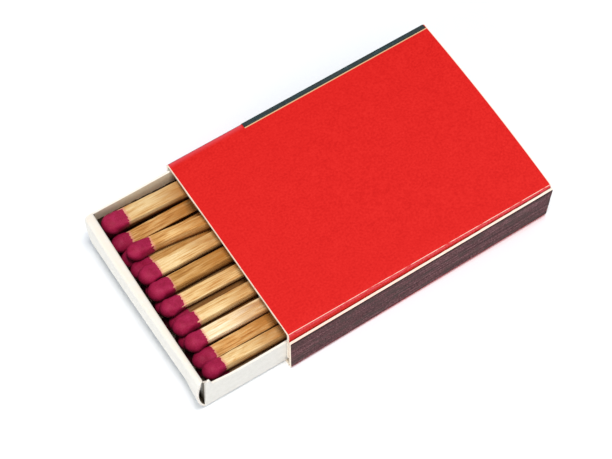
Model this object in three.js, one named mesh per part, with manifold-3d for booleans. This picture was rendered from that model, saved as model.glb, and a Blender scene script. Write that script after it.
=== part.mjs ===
import * as THREE from "three";
import { mergeVertices } from "three/addons/utils/BufferGeometryUtils.js";
import Module from "manifold-3d";

// A sliding matchbox with its tray drawn part of the way out, in millimetres.
// The origin is the centre of the sleeve's underside. The tray is drawn towards -X, the side
// with the glue lap faces -Y, and +Z is up.

// Matches: square wooden sticks with a dipped head.
const STICK_SIDE = 2.1;
const STICK_CHAMFER = 0.15;
const MATCH_LENGTH = 43.5;
const HEAD_LENGTH = 4.3;
const HEAD_COAT = 0.12; // over the stick's corners, at the widest part of the head
const HEAD_SKIRT = 0.13; // over the stick's flats, where the dip ends
const HEAD_SOCKET = 2.9; // length of stick inside the head
const HEAD_STATIONS = [0, 0.06, 0.2, 0.45, 0.8, 1]; // shares of the head's length, from its tip
const NOSE_SHARE = 0.45; // of the head's length, rounded
const NOSE_FLAT = 0.03; // of the head's length, missing from the point
const ROUND = 2; // exponent of a round section
const SQUARE = 6; // and of a nearly square one, where the dip ends
const BOND_GAP = 0.03; // between stick and head
const STACK_GAP = 0.05; // between a match and what it lies on

// Tray: one folded blank.
const TRAY_BOARD = 0.4;
const TRAY_INNER_WIDTH = 37.25;
const TRAY_FOLD = 0.3; // inside radius along the floor
const CORNER_FOLD = 0.2; // inside radius where a side turns into its tab
const TAB_LENGTH = 8;
const TAB_LIFT = 0.35; // tab above the floor
const LAYER_GAP = 0.05; // between the layers of an end wall
const END_BOW = 0.45; // outer end panel, at half height
const BOW_PEAK = 1.5; // where the bow's straight lines would meet, as a multiple of the bow
const END_INSET = 0.8; // end panel's edges in from the tray's sides
const END_CORNER = 1.2; // radius of the end panel's upper corners
const RIM_ROUND = 0.95; // share of the rim's width that its rounding takes
const INNER_PANEL_LIFT = 0.1; // inner end panel above the floor
const SIDE_DROP = 0.6; // sides below the end rims
const NEAR_DIP = 1.95; // near side's rim below the far one's, between its shoulders
const DIP_SHOULDER = 9; // length of each shoulder
const NOSE_ROOM = 0.15; // ahead of the heads
const TAIL_ROOM = 7.2; // behind the sticks
const HEAD_ROOM = 0.15; // between the highest head and the end rims

// Sleeve: one folded strip of board, lapped and glued on the near side.
const SLEEVE_BOARD = 0.45;
const SLEEVE_FOLD = 0.35; // inside radius
const RUN_SIDE = 0.25; // between tray and sleeve, each side
const RUN_BELOW = 0.15;
const RUN_ABOVE = 0.15;
const LAP_GAP = 0.05; // glue line between the flap and the outer panel
const LAP_DROP_MOUTH = 2.2; // outer panel's cut edge below the top, at the mouth
const LAP_DROP_REAR = 0.7; // and at the rear: the panel is glued a little skew
const FLAP_CLEARANCE = 2.6; // flap's lower edge above the underside
const DRAWN_OUT = 16.675;

// Striking strips.
const STRIKER_COAT = 0.08;
const STRIKER_MARGIN = 0.3; // to the panel's ends and to the cut edge
const STRIKER_FOOT = 0.95; // lower edge above the underside
const FAR_STRIKER_START = 15.2; // from the mouth
const FAR_STRIKER_TURN = 0.2; // on the flat top, past the fold

const FOLD_STEPS = 5; // facets in a right-angled fold
const ARC_STEPS = 6; // facets in a rounded corner
const HEAD_SIDES = 16;
const WELD = 1e-4;

// Where the matches lie. Each entry: place across the tray as a share of the free half width,
// distance behind the foremost head, sideways shift of the tail, and roll in degrees.
const BOTTOM_ROW = [
  [0.8779, 0.2, -0.3, 4],
  [0.6838, 0.5, 0.2, -6],
  [0.4828, 0.1, 0.3, 3],
  [0.2769, 0.7, -0.3, 8],
  [0.0414, 0.3, 0.2, -3],
  [-0.1773, 0.1, -0.2, 5],
  [-0.401, 0.6, 0.3, -8],
  [-0.6089, 0.2, 0.2, 2],
  [-0.8079, 0.4, 0.1, -5],
];
const MIDDLE_ROW = [
  [0.9813, 0.3, -0.2, -3],
  [0.7833, 0.15, -0.2, 20],
  [0.5833, 0.1, 0.2, 6],
  [0.3971, 0.15, 0.1, -9],
  [0.1527, 0.5, -0.3, 4],
  [-0.065, 0.2, 0.2, -5],
  [-0.2887, 0.6, -0.2, 7],
  [-0.5183, 0.1, 0.3, -4],
  [-0.7833, 0.1, 0.3, 10],
  [-0.9813, 0.5, 0.3, 3],
];
const TOP_ROW = [
  [0.937, 0.15, -1.3, 5],
  [0.5419, 0.85, -2.2, -7],
  [0.2473, 0.15, 0.1, 4],
  [0.0414, 0, -0.5, -4],
  [-0.1714, 0.05, -0.7, 8],
  [-0.4069, 0, -0.1, -3],
  [-0.6247, 0.1, -0.5, 6],
  [-0.9803, 0.1, 0.2, -4],
];
const STICK_TONES = [0xe6c890, 0xd29a55, 0xc08a52, 0xb98a55, 0xf0d898, 0xc28444, 0xe0ba78];

const solids = await Module();
solids.setup();

/** A geometry as a closed solid that can be joined and cut. */
function toSolid(geometry) {
  const bare = geometry.clone();
  bare.deleteAttribute("normal");
  bare.deleteAttribute("uv");
  const merged = mergeVertices(bare, WELD);
  return new solids.Manifold(
    new solids.Mesh({
      numProp: 3,
      vertProperties: merged.attributes.position.array,
      triVerts: new Uint32Array(merged.index.array),
    }),
  );
}

/** A solid as a geometry. */
function toGeometry(solid) {
  const mesh = solid.getMesh();
  const geometry = new THREE.BufferGeometry();
  geometry.setAttribute("position", new THREE.BufferAttribute(mesh.vertProperties, 3));
  geometry.setIndex(new THREE.BufferAttribute(mesh.triVerts, 1));
  geometry.computeVertexNormals();
  return geometry;
}

/** Outline of board folded along a centre line; bends are centre-line radii at its corners. */
function strip(corners, bends, thickness) {
  const path = corners.map(([u, v]) => new THREE.Vector2(u, v));
  const left = [];
  const right = [];
  const put = (point, normal) => {
    left.push(point.clone().addScaledVector(normal, thickness / 2));
    right.push(point.clone().addScaledVector(normal, -thickness / 2));
  };
  const heading = (i) => path[i + 1].clone().sub(path[i]).normalize();
  const leftOf = (direction) => new THREE.Vector2(-direction.y, direction.x);
  put(path[0], leftOf(heading(0)));
  bends.forEach((radius, i) => {
    const before = heading(i);
    const after = heading(i + 1);
    const turn = Math.atan2(before.cross(after), before.dot(after));
    const reach = radius * Math.tan(Math.abs(turn) / 2);
    const start = path[i + 1].clone().addScaledVector(before, -reach);
    const side = Math.sign(turn) * radius;
    const normal = leftOf(before);
    const centre = start.clone().addScaledVector(normal, side);
    const steps = Math.max(2, Math.ceil((Math.abs(turn) * FOLD_STEPS * 2) / Math.PI - WELD));
    for (let k = 0; k <= steps; k += 1) {
      const spoke = normal.clone().rotateAround(new THREE.Vector2(), (turn * k) / steps);
      put(centre.clone().addScaledVector(spoke, -side), spoke);
    }
  });
  put(path[path.length - 1], leftOf(heading(path.length - 2)));
  return new THREE.Shape([...left, ...right.reverse()]);
}

/** An outline given depth. */
function carry(shape, depth) {
  return new THREE.ExtrudeGeometry(shape, { depth, bevelEnabled: false, curveSegments: ARC_STEPS });
}

/** A Y-Z outline carried along X. */
function alongX(shape, from, to) {
  const geometry = carry(shape, to - from);
  const axes = new THREE.Matrix4().makeBasis(
    new THREE.Vector3(0, 1, 0),
    new THREE.Vector3(0, 0, 1),
    new THREE.Vector3(1, 0, 0),
  );
  return geometry.applyMatrix4(axes).translate(from, 0, 0);
}

/** An X-Z outline carried along Y. */
function alongY(shape, from, to) {
  const geometry = carry(shape, to - from);
  const axes = new THREE.Matrix4().makeBasis(
    new THREE.Vector3(1, 0, 0),
    new THREE.Vector3(0, 0, 1),
    new THREE.Vector3(0, -1, 0),
  );
  return geometry.applyMatrix4(axes).translate(0, to, 0);
}

/** An X-Y outline carried along Z. */
function alongZ(shape, from, to) {
  const geometry = carry(shape, to - from);
  return geometry.translate(0, 0, from);
}

/** An outline with straight sides. */
function polygon(points) {
  return new THREE.Shape(points.map(([u, v]) => new THREE.Vector2(u, v)));
}

/** A named piece with its own material. */
function piece(name, geometry, color, roughness) {
  const material = new THREE.MeshStandardMaterial({ color, roughness, metalness: 0 });
  const mesh = new THREE.Mesh(geometry, material);
  mesh.name = name;
  return mesh;
}

// Sizes that follow from those above.
const stickHalf = STICK_SIDE / 2;
const headRadius = stickHalf * Math.SQRT2 + HEAD_COAT;
const endThickness = 3 * TRAY_BOARD + 2 * LAYER_GAP;
const trayWidth = TRAY_INNER_WIDTH + 2 * TRAY_BOARD;
const trayLength = 2 * endThickness + NOSE_ROOM + MATCH_LENGTH + TAIL_ROOM;
const trayUnder = SLEEVE_BOARD + RUN_BELOW;
const trayFloor = trayUnder + TRAY_BOARD;
const sleeveLength = trayLength;
const sleeveInnerWidth = trayWidth + 2 * RUN_SIDE;
const sleeveWidth = sleeveInnerWidth + 3 * SLEEVE_BOARD + LAP_GAP;
const lapFace = -sleeveWidth / 2;
const innerNear = lapFace + 2 * SLEEVE_BOARD + LAP_GAP;
const innerFar = sleeveWidth / 2 - SLEEVE_BOARD;
const trayMiddle = (innerNear + innerFar) / 2;
const mouth = -sleeveLength / 2;

/** Heights of round things of one radius laid in turn on a floor and on those before them. */
function settleRound(places, radius, floor) {
  const reach = 2 * radius + STACK_GAP;
  const heights = [];
  places.forEach((place, i) => {
    let height = floor + radius + STACK_GAP;
    for (let j = 0; j < i; j += 1) {
      const apart = place - places[j];
      if (Math.abs(apart) < reach) {
        height = Math.max(height, heights[j] + Math.sqrt(reach * reach - apart * apart));
      }
    }
    heights.push(height);
  });
  return heights;
}

/** Heights of rolled square sticks laid in turn on a floor and on those before them. */
function settleSquare(places, halves, floor) {
  const heights = [];
  places.forEach((place, i) => {
    let height = floor + halves[i] + STACK_GAP;
    for (let j = 0; j < i; j += 1) {
      const reach = halves[i] + halves[j] + STACK_GAP;
      if (Math.abs(place - places[j]) < reach) {
        height = Math.max(height, heights[j] + reach);
      }
    }
    heights.push(height);
  });
  return heights;
}

/** Every match's foremost point, direction and roll, in the closed box. */
function layMatches() {
  const rows = [...BOTTOM_ROW, ...MIDDLE_ROW, ...TOP_ROW];
  const freeHalf = TRAY_INNER_WIDTH / 2 - headRadius - STACK_GAP;
  const rolls = rows.map(([, , , degrees]) => THREE.MathUtils.degToRad(degrees));
  const halves = rolls.map((roll) => stickHalf * (Math.cos(roll) + Math.abs(Math.sin(roll))));
  const headPlaces = rows.map(([share]) => trayMiddle + share * freeHalf);
  const tailPlaces = rows.map(([, , drift], i) => headPlaces[i] + drift);
  const headHeights = settleRound(headPlaces, headRadius, trayFloor);
  const tailHeights = settleSquare(tailPlaces, halves, trayFloor);
  const nose = mouth + endThickness + NOSE_ROOM;
  const span = MATCH_LENGTH - HEAD_LENGTH / 2;
  return rows.map(([, setback], i) => {
    const across = tailPlaces[i] - headPlaces[i];
    const down = tailHeights[i] - headHeights[i];
    const along = Math.sqrt(span * span - across * across - down * down);
    const direction = new THREE.Vector3(along, across, down).normalize();
    const tip = new THREE.Vector3(
      nose + setback + HEAD_LENGTH / 2,
      headPlaces[i],
      headHeights[i],
    ).addScaledVector(direction, -HEAD_LENGTH / 2);
    return { tip, direction, roll: rolls[i] };
  });
}

const matches = layMatches();
const stackTop = Math.max(...matches.map(({ tip }) => tip.z)) + headRadius;
const endRim = stackTop + HEAD_ROOM;
const sideRim = endRim - SIDE_DROP;
const sleeveHeight = endRim + RUN_ABOVE + SLEEVE_BOARD;

/** Outline of the stick, square with its edges taken off. */
function stickOutline(grow) {
  const flat = stickHalf + grow;
  const edge = flat - STICK_CHAMFER;
  return polygon([
    [flat, -edge],
    [flat, edge],
    [edge, flat],
    [-edge, flat],
    [-flat, edge],
    [-flat, -edge],
    [-edge, -flat],
    [edge, -flat],
  ]);
}

/** A stick along X, its forward end inside the head. */
function stickGeometry() {
  return alongX(stickOutline(0), HEAD_LENGTH - HEAD_SOCKET, MATCH_LENGTH);
}

/** Solid through rings of points square to X, closed by a fan at each end. */
function loft(rings) {
  const sides = rings[0].length;
  const points = rings.flat();
  const faces = [];
  for (let r = 0; r < rings.length - 1; r += 1) {
    for (let k = 0; k < sides; k += 1) {
      const a = r * sides + k;
      const b = r * sides + ((k + 1) % sides);
      faces.push(a, b, b + sides, a, b + sides, a + sides);
    }
  }
  const last = (rings.length - 1) * sides;
  for (let k = 1; k < sides - 1; k += 1) {
    faces.push(0, k + 1, k);
    faces.push(last, last + k, last + k + 1);
  }
  const geometry = new THREE.BufferGeometry().setFromPoints(points);
  geometry.setIndex(faces);
  return geometry;
}

/** A match head along X from its tip: round at the nose, squarer towards the stick. */
function headGeometry() {
  const skirt = stickHalf + HEAD_SKIRT;
  const rings = HEAD_STATIONS.map((station) => {
    const rear = Math.max(0, (station - NOSE_SHARE) / (1 - NOSE_SHARE));
    const ahead = Math.max(0, 1 - (station + NOSE_FLAT) / (NOSE_SHARE + NOSE_FLAT));
    const squareness = THREE.MathUtils.lerp(ROUND, SQUARE, rear);
    const corner = Math.SQRT2 / 2 ** (1 / squareness);
    const widest = THREE.MathUtils.lerp(headRadius, skirt * corner, rear * rear);
    const half = (widest / corner) * Math.sqrt(1 - ahead * ahead);
    return Array.from({ length: HEAD_SIDES }, (_, k) => {
      const angle = (2 * Math.PI * k) / HEAD_SIDES;
      const across = Math.abs(Math.cos(angle)) ** squareness;
      const upright = Math.abs(Math.sin(angle)) ** squareness;
      const radius = half / (across + upright) ** (1 / squareness);
      const place = station * HEAD_LENGTH;
      return new THREE.Vector3(place, radius * Math.cos(angle), radius * Math.sin(angle));
    });
  });
  const socketEnd = HEAD_LENGTH - HEAD_SOCKET - BOND_GAP;
  const socket = alongX(stickOutline(BOND_GAP), socketEnd, HEAD_LENGTH + HEAD_SOCKET);
  return toGeometry(toSolid(loft(rings)).subtract(toSolid(socket)));
}

/** The sleeve: flap, top, far side, underside and outer near panel with its skew cut edge. */
function sleeveGeometry() {
  const half = SLEEVE_BOARD / 2;
  const bend = SLEEVE_FOLD + half;
  const flap = innerNear - half;
  const far = innerFar + half;
  const outer = lapFace + half;
  const top = sleeveHeight - half;
  const outline = strip(
    [
      [flap, FLAP_CLEARANCE],
      [flap, top],
      [far, top],
      [far, half],
      [outer, half],
      [outer, sleeveHeight - LAP_DROP_REAR],
    ],
    [bend, bend, bend, bend],
    SLEEVE_BOARD,
  );
  const folded = alongX(outline, mouth, -mouth);
  const above = polygon([
    [mouth, sleeveHeight],
    [mouth, sleeveHeight - LAP_DROP_MOUTH],
    [-mouth, sleeveHeight - LAP_DROP_REAR],
    [-mouth, sleeveHeight],
  ]);
  const offcut = alongY(above, lapFace - SLEEVE_BOARD, lapFace + SLEEVE_BOARD + LAP_GAP / 2);
  return toGeometry(toSolid(folded).subtract(toSolid(offcut)));
}

/** The coat on the outer near panel, up to the skew cut edge. */
function nearStrikerGeometry() {
  const from = mouth + STRIKER_MARGIN;
  const top = sleeveHeight - STRIKER_MARGIN;
  const face = polygon([
    [from, STRIKER_FOOT],
    [-from, STRIKER_FOOT],
    [-from, top - LAP_DROP_REAR],
    [from, top - LAP_DROP_MOUTH],
  ]);
  return alongY(face, lapFace - STRIKER_COAT, lapFace);
}

/** The coat on the far side, carried over the top fold. */
function farStrikerGeometry() {
  const half = STRIKER_COAT / 2;
  const face = sleeveWidth / 2 + half;
  const fold = SLEEVE_FOLD + SLEEVE_BOARD;
  const top = sleeveHeight + half;
  const edge = sleeveWidth / 2 - fold - FAR_STRIKER_TURN;
  const outline = strip(
    [
      [face, STRIKER_FOOT],
      [face, top],
      [edge, top],
    ],
    [fold + half],
    STRIKER_COAT,
  );
  return alongX(outline, mouth + FAR_STRIKER_START, -mouth - STRIKER_MARGIN);
}

/** Floor and long sides of the tray, without the corners. */
function trayChannel() {
  const half = TRAY_BOARD / 2;
  const bend = TRAY_FOLD + half;
  const near = trayMiddle - trayWidth / 2 + half;
  const far = trayMiddle + trayWidth / 2 - half;
  const outline = strip(
    [
      [near, sideRim],
      [near, trayUnder + half],
      [far, trayUnder + half],
      [far, sideRim],
    ],
    [bend, bend],
    TRAY_BOARD,
  );
  const start = mouth + endThickness;
  return toSolid(alongX(outline, start, -start));
}

/** One long side of the tray with the tabs at both its ends; inward is +1 or -1 along Y. */
function traySide(inward) {
  const half = TRAY_BOARD / 2;
  const bend = CORNER_FOLD + half;
  const side = trayMiddle - inward * (trayWidth / 2 - half);
  const tab = mouth + TRAY_BOARD + LAYER_GAP + half;
  const outline = strip(
    [
      [tab, side + inward * TAB_LENGTH],
      [tab, side],
      [-tab, side],
      [-tab, side + inward * TAB_LENGTH],
    ],
    [bend, bend],
    TRAY_BOARD,
  );
  return toSolid(alongZ(outline, trayFloor + TAB_LIFT, sideRim));
}

/** What the near side's rim lacks: a long dip that slopes down from both ends. */
function nearDip() {
  const start = mouth + endThickness;
  const face = trayMiddle - trayWidth / 2;
  const above = polygon([
    [start, sideRim],
    [start + DIP_SHOULDER, sideRim - NEAR_DIP],
    [-start - DIP_SHOULDER, sideRim - NEAR_DIP],
    [-start, sideRim],
    [-start, endRim],
    [start, endRim],
  ]);
  return toSolid(alongY(above, face - LAYER_GAP, face + TRAY_BOARD + LAYER_GAP));
}

/** Outline of an end panel seen along X: square at the floor, round at the upper corners. */
function endPanelOutline() {
  const from = trayMiddle - trayWidth / 2 + END_INSET;
  const to = trayMiddle + trayWidth / 2 - END_INSET;
  const arcHeight = endRim - END_CORNER;
  const outline = new THREE.Shape();
  outline.moveTo(from, trayUnder - TRAY_BOARD);
  outline.lineTo(to, trayUnder - TRAY_BOARD);
  outline.lineTo(to, arcHeight);
  outline.absarc(to - END_CORNER, arcHeight, END_CORNER, 0, Math.PI / 2);
  outline.absarc(from + END_CORNER, arcHeight, END_CORNER, Math.PI / 2, Math.PI);
  outline.closePath();
  return outline;
}

/** One end of the tray: floor edge, bowed outer panel, rolled rim and inner panel. */
function trayEnd(facing) {
  const half = TRAY_BOARD / 2;
  const outer = mouth + half;
  const inner = mouth + endThickness - half;
  const floorLine = trayUnder + half;
  const rimLine = endRim - half;
  const peak = END_BOW * BOW_PEAK;
  const slope = Math.atan((2 * peak) / (rimLine - floorLine));
  const bowRadius = (peak - END_BOW) / (1 / Math.cos(slope) - 1);
  const rimFold = (RIM_ROUND * (inner - outer)) / (1 + Math.tan(Math.PI / 4 + slope / 2));
  const inside = mouth + 2 * endThickness;
  const corners = [
    [inside, floorLine],
    [outer, floorLine],
    [outer - peak, (floorLine + rimLine) / 2],
    [outer, rimLine],
    [inner, rimLine],
    [inner, trayFloor + INNER_PANEL_LIFT],
  ];
  const folded = strip(
    corners.map(([x, z]) => [-facing * x, z]),
    [TRAY_FOLD + half, bowRadius, rimFold, rimFold],
    TRAY_BOARD,
  );
  const wide = alongY(folded, trayMiddle - trayWidth, trayMiddle + trayWidth);
  const reach = alongX(endPanelOutline(), mouth - 2 * peak, inside + TRAY_BOARD);
  if (facing > 0) {
    reach.rotateZ(Math.PI).translate(0, 2 * trayMiddle, 0);
  }
  return toSolid(wide).intersect(toSolid(reach));
}

/** The whole tray as one folded blank, in the closed box. */
function trayGeometry() {
  const blank = trayChannel()
    .add(traySide(1))
    .add(traySide(-1))
    .subtract(nearDip())
    .add(trayEnd(-1))
    .add(trayEnd(1));
  return toGeometry(blank);
}

const matchbox = new THREE.Group();
matchbox.name = "matchbox";
matchbox.add(piece("sleeve", sleeveGeometry(), 0xe52626, 0.55));
matchbox.add(piece("striker_near", nearStrikerGeometry(), 0x5f4650, 0.9));
matchbox.add(piece("striker_far", farStrikerGeometry(), 0x374e52, 0.9));

const drawer = new THREE.Group();
drawer.position.x = -DRAWN_OUT;
drawer.add(piece("tray", trayGeometry(), 0xeeebe4, 0.8));
const alongMatch = new THREE.Vector3(1, 0, 0);
matches.forEach(({ tip, direction, roll }, i) => {
  const number = String(i + 1).padStart(2, "0");
  const tone = STICK_TONES[i % STICK_TONES.length];
  const match = new THREE.Group();
  match.position.copy(tip);
  match.quaternion.setFromUnitVectors(alongMatch, direction);
  match.rotateX(roll);
  match.add(piece("match_stick_" + number, stickGeometry(), tone, 0.75));
  match.add(piece("match_head_" + number, headGeometry(), 0xa51e4b, 0.85));
  drawer.add(match);
});
matchbox.add(drawer);

export default matchbox;
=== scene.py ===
"""A sliding matchbox with its tray drawn part of the way out, on a white studio floor."""

import logging
import math
from collections.abc import Callable, Iterable, Sequence
from dataclasses import dataclass, field
from enum import Enum

import bmesh
import bpy
import numpy as np
from bmesh.types import BMEdge, BMesh, BMVert
from bpy.types import ID, Material, Mesh, Node, NodeSocket, Object
from mathutils import Color, Matrix, Vector, noise


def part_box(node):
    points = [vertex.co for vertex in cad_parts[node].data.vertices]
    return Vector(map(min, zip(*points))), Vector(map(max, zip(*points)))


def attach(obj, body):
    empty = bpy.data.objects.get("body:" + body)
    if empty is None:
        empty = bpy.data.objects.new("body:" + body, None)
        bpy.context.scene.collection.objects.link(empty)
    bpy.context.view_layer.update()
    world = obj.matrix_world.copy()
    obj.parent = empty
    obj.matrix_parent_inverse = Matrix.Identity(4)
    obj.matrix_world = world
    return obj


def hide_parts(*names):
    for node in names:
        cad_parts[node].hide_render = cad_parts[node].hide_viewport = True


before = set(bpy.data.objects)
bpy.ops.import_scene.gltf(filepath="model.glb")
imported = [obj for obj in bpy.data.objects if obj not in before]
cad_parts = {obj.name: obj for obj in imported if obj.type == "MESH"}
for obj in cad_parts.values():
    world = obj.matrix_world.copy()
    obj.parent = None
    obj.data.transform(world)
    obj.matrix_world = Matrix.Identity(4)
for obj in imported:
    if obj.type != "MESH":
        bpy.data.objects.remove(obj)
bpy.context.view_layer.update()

MM = 0.001
TOUCH = 1e-7
TOUCH_DIGITS = 7
SHARP_ANGLE = math.radians(38)
SCREEN_WHITE = 255
LOG = logging.getLogger("matchbox")

Colour = tuple[float, float, float]
Value = float | Colour | Vector | NodeSocket
Paints = list[tuple[NodeSocket, Colour]]
Octaves = tuple[tuple[float, float], ...]


def screen(red: int, green: int, blue: int) -> Colour:
    """A colour given in screen values from 0 to 255, as linear light."""
    shown = Color((red, green, blue)) / SCREEN_WHITE
    return tuple(shown.from_srgb_to_scene_linear())


def ease(value: float, start: float, end: float) -> float:
    """A smooth rise from 0 at start to 1 at end."""
    share = min(1.0, max(0.0, (value - start) / (end - start)))
    return share * share * (3 - 2 * share)


def arch(share: float) -> float:
    """A parabola that is 0 at shares 0 and 1, and 1 halfway."""
    return 4 * share * (1 - share)


def shares(count: int) -> list[float]:
    """The places that cut a length into a count of equal parts, as shares of it."""
    return [step / count for step in range(1, count)]


def between(start: float, end: float, count: int) -> list[float]:
    """The places that cut the stretch from start to end into a count of equal parts."""
    return [start + (end - start) * share for share in shares(count)]


def uneven(place: Vector, seed: Vector, octaves: Octaves) -> float:
    """Noise summed from octaves, each given by its height and its length."""
    return sum(height * noise.noise(place / length + seed) for height, length in octaves)


class Axis(Enum):
    """A direction of the frame."""

    X = 0
    Y = 1
    Z = 2

    def at(self, place: float) -> Vector:
        """Finds a point on this axis.

        Args:
            place: How far along the axis it lies.

        Returns:
            The point.
        """
        point = Vector((0, 0, 0))
        point[self.value] = place
        return point


class Body(Enum):
    """The two bodies that slide on each other."""

    SLEEVE = "sleeve"
    TRAY = "tray"


class Wood(Enum):
    """The tones of the sticks, by the record's slot."""

    PALE = "wood_pale"
    TAN = "wood_tan"
    BROWN = "wood_brown"
    CREAM = "wood_cream"


class Side(Enum):
    """The sides of a board, by the slot of their finish."""

    FACE = 0
    INSIDE = 1
    CUT = 2


class Layer(Enum):
    """Numbers kept on the points of a match, by attribute name."""

    BEHIND_DIP = "behind_dip"
    SUNK = "sunk"
    DIM = "dim"


@dataclass(frozen=True)
class Grain:
    """Noise by its grains per millimetre along X and across it, its octaves and its distortion."""

    along: float
    across: float
    detail: float = 3.0
    bend: float = 0.0


@dataclass(frozen=True)
class Step:
    """A smooth step from 0 at start to top at end."""

    start: float
    end: float
    top: float = 1.0

    def at(self, place: float) -> "Step":
        """The same step measured from a place."""
        return Step(place + self.start, place + self.end, self.top)


@dataclass(frozen=True)
class Band:
    """A stripe that is 1 within half of a centre and fades over a soft edge."""

    centre: float
    half: float
    soft: float

    def at(self, place: float) -> "Band":
        """The same stripe measured from a place."""
        return Band(place + self.centre, self.half, self.soft)


class Graph:
    """The node tree of one material, with places in millimetres."""

    def __init__(self, name: str, roughness: float, specular: float) -> None:
        """Starts a material.

        Args:
            name: The material's name.
            roughness: Roughness all over.
            specular: Specular level all over.
        """
        self.material: Material = bpy.data.materials.new(name)
        self.material.use_nodes = True
        self.nodes = self.material.node_tree.nodes
        self.links = self.material.node_tree.links
        self.shader: Node = self.nodes["Principled BSDF"]
        self.shader.inputs["Roughness"].default_value = roughness
        self.shader.inputs["Specular IOR Level"].default_value = specular
        metres = self.add("ShaderNodeTexCoord").outputs["Object"]
        scale = Vector((1, 1, 1)) / MM
        self.place = self.add("ShaderNodeMapping", Vector=metres, Scale=scale).outputs["Vector"]
        parts = self.add("ShaderNodeSeparateXYZ", Vector=self.place).outputs
        self.x, self.y, self.z = parts["X"], parts["Y"], parts["Z"]

    def feed(self, socket: NodeSocket, value: Value) -> None:
        """Links a socket to an input, or sets the input's own value.

        Args:
            socket: The input.
            value: The socket or the value.
        """
        if isinstance(value, NodeSocket):
            self.links.new(value, socket)
        elif isinstance(value, tuple):
            socket.default_value = (*value, 1.0)
        else:
            socket.default_value = value

    def add(self, kind: str, **inputs: Value) -> Node:
        """Adds a node.

        Args:
            kind: The node's type.
            **inputs: Values or links by input name, with underscores for spaces.

        Returns:
            The new node.
        """
        node = self.nodes.new(kind)
        for name, value in inputs.items():
            self.feed(node.inputs[name.replace("_", " ")], value)
        return node

    def math(self, operation: str, first: Value, second: Value = 0.0) -> NodeSocket:
        """Works out a sum, product or other operation.

        Args:
            operation: The operation's name.
            first: The first value.
            second: The second value, where there is one.

        Returns:
            The result.
        """
        node = self.nodes.new("ShaderNodeMath")
        node.operation = operation
        self.feed(node.inputs[0], first)
        self.feed(node.inputs[1], second)
        return node.outputs[0]

    def blend(self, first: NodeSocket, second: NodeSocket, share: float) -> NodeSocket:
        """A share of one noise with the rest of another."""
        rest = self.math("MULTIPLY", second, 1 - share)
        return self.math("ADD", self.math("MULTIPLY", first, share), rest)

    def grain(self, grain: Grain) -> NodeSocket:
        """Makes noise that is stretched along X.

        Args:
            grain: The noise's measures.

        Returns:
            The noise, from 0 to 1.
        """
        scale = Vector((grain.along, grain.across, grain.across))
        place = self.add("ShaderNodeMapping", Vector=self.place, Scale=scale).outputs["Vector"]
        made = self.add(
            "ShaderNodeTexNoise", Vector=place, Scale=1.0, Detail=grain.detail, Distortion=grain.bend
        )
        return made.outputs["Fac"]

    def rise(self, value: NodeSocket, step: Step) -> NodeSocket:
        """Makes a mask that follows a smooth step.

        Args:
            value: What the step is measured on.
            step: The step.

        Returns:
            The mask.
        """
        (low, at_low), (high, at_high) = sorted(((step.start, 0.0), (step.end, step.top)))
        node = self.add(
            "ShaderNodeMapRange", Value=value, From_Min=low, From_Max=high, To_Min=at_low, To_Max=at_high
        )
        node.interpolation_type = "SMOOTHSTEP"
        return node.outputs["Result"]

    def band(self, value: NodeSocket, band: Band) -> NodeSocket:
        """A mask that follows a stripe of a value."""
        off = self.math("ABSOLUTE", self.math("SUBTRACT", value, band.centre))
        return self.rise(off, Step(band.half + band.soft, band.half))

    def both(self, *masks: NodeSocket) -> NodeSocket:
        """Multiplies masks.

        Args:
            *masks: Two or more masks.

        Returns:
            The mask of where all of them are.
        """
        result = masks[0]
        for mask in masks[1:]:
            result = self.math("MULTIPLY", result, mask)
        return result

    def ramp(self, factor: NodeSocket, places: Sequence[float], colours: Sequence[Colour]) -> NodeSocket:
        """A run of colours.

        Args:
            factor: The place on the run.
            places: Where the colours stand, in rising order.
            colours: The colours.

        Returns:
            The colour.
        """
        node = self.add("ShaderNodeValToRGB", Fac=factor)
        run = node.color_ramp.elements
        for end in (0, -1):
            run[end].position, run[end].color = places[end], (*colours[end], 1.0)
        for place, colour in zip(places[1:-1], colours[1:-1]):
            run.new(place).color = (*colour, 1.0)
        return node.outputs["Color"]

    def lay(self, mask: NodeSocket, under: NodeSocket, over: Colour) -> NodeSocket:
        """Lays one colour over another.

        Args:
            mask: Where it is 1, only the upper colour shows.
            under: The lower colour.
            over: The upper colour.

        Returns:
            The colour.
        """
        node = self.nodes.new("ShaderNodeMix")
        node.data_type = "RGBA"
        factor, below, above = node.inputs[0], node.inputs[6], node.inputs[7]
        self.feed(factor, mask)
        self.feed(below, under)
        self.feed(above, over)
        return node.outputs[2]

    def paint(self, colour: NodeSocket, paints: Paints) -> NodeSocket:
        """Lays colours over another in order.

        Args:
            colour: The lowest colour.
            paints: Masks with their colours, the lowest first.

        Returns:
            The colour.
        """
        for mask, over in paints:
            colour = self.lay(mask, colour, over)
        return colour

    def attribute(self, layer: Layer) -> NodeSocket:
        """Reads a number that is kept on the mesh.

        Args:
            layer: Which number.

        Returns:
            The number.
        """
        node = self.add("ShaderNodeAttribute")
        node.attribute_name = layer.value
        return node.outputs["Fac"]

    def finish(self, colour: NodeSocket, height: NodeSocket, depth: float) -> Material:
        """Sets the colour and the relief.

        Args:
            colour: The base colour.
            height: Height of the relief, from 0 to 1.
            depth: Depth of the relief in millimetres.

        Returns:
            The material.
        """
        self.feed(self.shader.inputs["Base Color"], colour)
        bump = self.add("ShaderNodeBump", Height=height, Strength=1.0, Distance=depth * MM)
        self.feed(self.shader.inputs["Normal"], bump.outputs["Normal"])
        return self.material


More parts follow.
